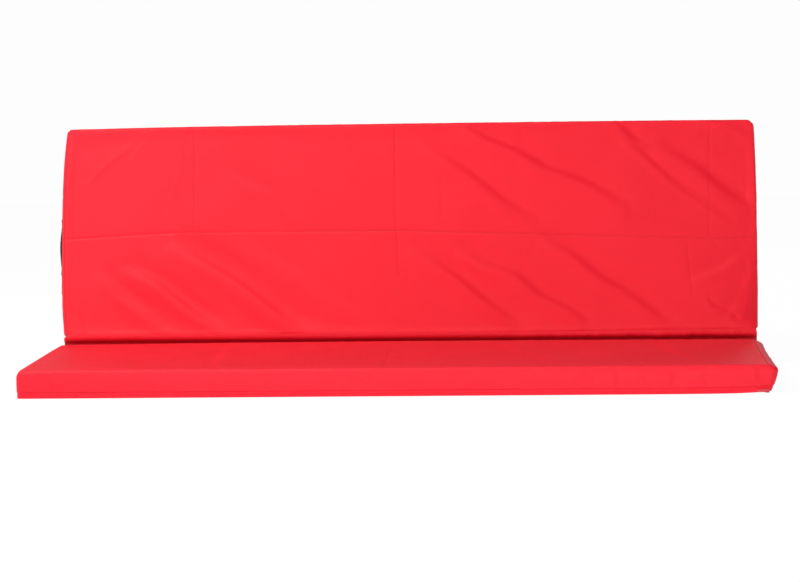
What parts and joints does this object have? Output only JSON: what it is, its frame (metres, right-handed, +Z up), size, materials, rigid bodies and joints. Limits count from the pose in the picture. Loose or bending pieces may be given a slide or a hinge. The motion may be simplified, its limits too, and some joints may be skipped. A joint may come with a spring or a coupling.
{
  "type": "folding crash landing mat",
  "caption": "Folding gymnastics crash mat: two zipped foam panels in coated red covers joined by a cloth hinge, one flat on the floor, one raised.",
  "frame": {"origin": "middle of the flat panel's underside, on the floor", "axes": "+X along the mat's length, +Y from the flat panel's front edge to the hinge, +Z up"},
  "size_m": [1.8567, 0.7816, 0.6425],
  "materials": {
    "cover_red": "satin coated cloth",
    "base_black": "matt anti-slip cloth",
    "foam": "open-cell foam",
    "zip_tape": "woven tape",
    "zip_coil": "nylon coil",
    "zip_metal": "red enamelled die-cast metal",
    "webbing": "black woven webbing"
  },
  "bodies": {
    "flat_panel": {"flat_foam_core": "foam", "flat_landing_sheet": "cover_red", "flat_base_sheet": "base_black", "flat_far_border": "cover_red", "flat_hinge_border": "cover_red", "flat_left_border": "cover_red", "flat_right_border": "cover_red", "flat_zip_tape_lower": "zip_tape", "flat_zip_tape_upper": "zip_tape", "flat_zip_coil": "zip_coil", "flat_zip_stop_left": "zip_metal", "flat_zip_stop_right": "zip_metal", "flat_handle_tab_inner": "webbing", "flat_handle_tab_outer": "webbing", "hinge_strip": "cover_red"},
    "flat_zip_slider": {"flat_zip_slider": "zip_metal"},
    "flat_zip_pull": {"flat_zip_pull": "zip_metal"},
    "flat_handle": {"flat_handle_grip": "webbing"},
    "raised_panel": {"raised_foam_core": "foam", "raised_landing_sheet": "cover_red", "raised_base_sheet": "base_black", "raised_far_border": "cover_red", "raised_hinge_border": "cover_red", "raised_left_border": "cover_red", "raised_right_border": "cover_red", "raised_zip_tape_lower": "zip_tape", "raised_zip_tape_upper": "zip_tape", "raised_zip_coil": "zip_coil", "raised_zip_stop_left": "zip_metal", "raised_zip_stop_right": "zip_metal", "raised_handle_tab_inner": "webbing", "raised_handle_tab_outer": "webbing"},
    "raised_zip_slider": {"raised_zip_slider": "zip_metal"},
    "raised_zip_pull": {"raised_zip_pull": "zip_metal"},
    "raised_handle": {"raised_handle_grip": "webbing"}
  },
  "joints": [
    {"name": "fold_hinge", "type": "hinge", "parent": "flat_panel", "child": "raised_panel", "pos_m": [0, 0.299, 0.076], "axis": [1, 0, 0], "range_deg": [-78, 102], "deforming": ["hinge_strip"]},
    {"name": "flat_zip_travel", "type": "slide", "parent": "flat_panel", "child": "flat_zip_slider", "axis": [-1, 0, 0], "range_m": [0, 1.79]},
    {"name": "flat_pull_flip", "type": "hinge", "parent": "flat_zip_slider", "child": "flat_zip_pull", "pos_m": [0.898, -0.2861, 0.008], "axis": [0, 0, 1], "range_deg": [0, 180]},
    {"name": "flat_handle_swing", "type": "hinge", "parent": "flat_panel", "child": "flat_handle", "pos_m": [-0.927, 0.03934, 0.036], "axis": [0, 1, 0], "range_deg": [-30, 30]},
    {"name": "raised_zip_travel", "type": "slide", "parent": "raised_panel", "child": "raised_zip_slider", "axis": [-1, 0, 0], "range_m": [0, 1.79]},
    {"name": "raised_pull_flip", "type": "hinge", "parent": "raised_zip_slider", "child": "raised_zip_pull", "pos_m": [0.898, 0.48716, 0.63418], "axis": [0, 0.9781, -0.2079], "range_deg": [0, 180]},
    {"name": "raised_handle_swing", "type": "hinge", "parent": "raised_panel", "child": "raised_handle", "pos_m": [-0.927, 0.39211, 0.32167], "axis": [0, 0.2079, 0.9781], "range_deg": [-30, 30]}
  ]
}
